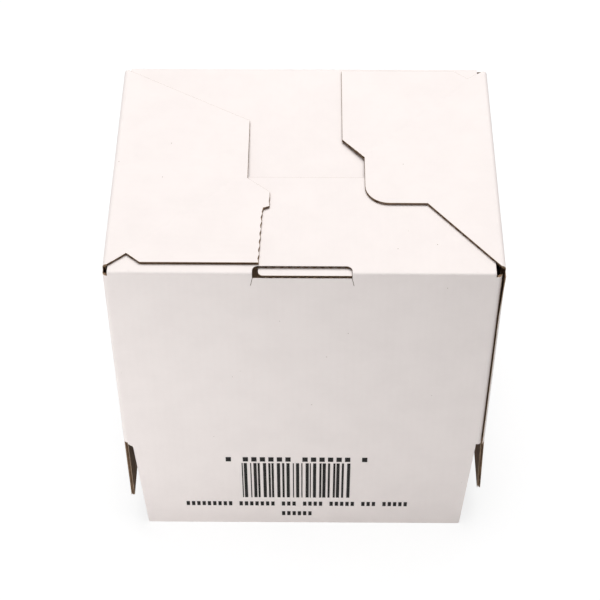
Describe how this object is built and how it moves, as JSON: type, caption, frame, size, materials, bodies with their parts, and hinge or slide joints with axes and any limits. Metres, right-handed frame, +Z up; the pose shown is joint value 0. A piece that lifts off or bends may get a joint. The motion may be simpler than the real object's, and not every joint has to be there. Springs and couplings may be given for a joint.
{
  "type": "cardboard shipping box",
  "caption": "Corrugated shipping box with a glued self-locking bottom, standing upside down on its long top flaps; all top flaps fold.",
  "frame": {"origin": "middle of the footprint, on the surface that the box stands on", "axes": "+Z up as pictured (the box's own bottom faces up), +X to the right along the width, front wall facing -Y"},
  "size_m": [0.1651, 0.1261, 0.1775],
  "materials": {
    "white_board": "matt white-lined corrugated board, brown inside and on cut edges",
    "print_ink": "flat black flexo ink"
  },
  "bodies": {
    "carton": {"carton_body": "white_board"},
    "front_flap": {"front_flap": "white_board", "printed_marks": "print_ink"},
    "back_flap": {"back_flap": "white_board"},
    "left_dust_flap": {"left_dust_flap": "white_board"},
    "right_dust_flap": {"right_dust_flap": "white_board"}
  },
  "joints": [
    {"name": "front_flap_crease", "type": "hinge", "parent": "carton", "child": "front_flap", "pos_m": [0, -0.063, 0.06275], "axis": [1, 0, 0], "range_deg": [-165, 90]},
    {"name": "back_flap_crease", "type": "hinge", "parent": "carton", "child": "back_flap", "pos_m": [0, 0.063, 0.06275], "axis": [-1, 0, 0], "range_deg": [-165, 90]},
    {"name": "left_dust_flap_crease", "type": "hinge", "parent": "carton", "child": "left_dust_flap", "pos_m": [-0.0815, 0, 0.06455], "axis": [0, -1, 0], "range_deg": [-165, 90]},
    {"name": "right_dust_flap_crease", "type": "hinge", "parent": "carton", "child": "right_dust_flap", "pos_m": [0.0815, 0, 0.06455], "axis": [0, 1, 0], "range_deg": [-162.5, 92.5]}
  ]
}
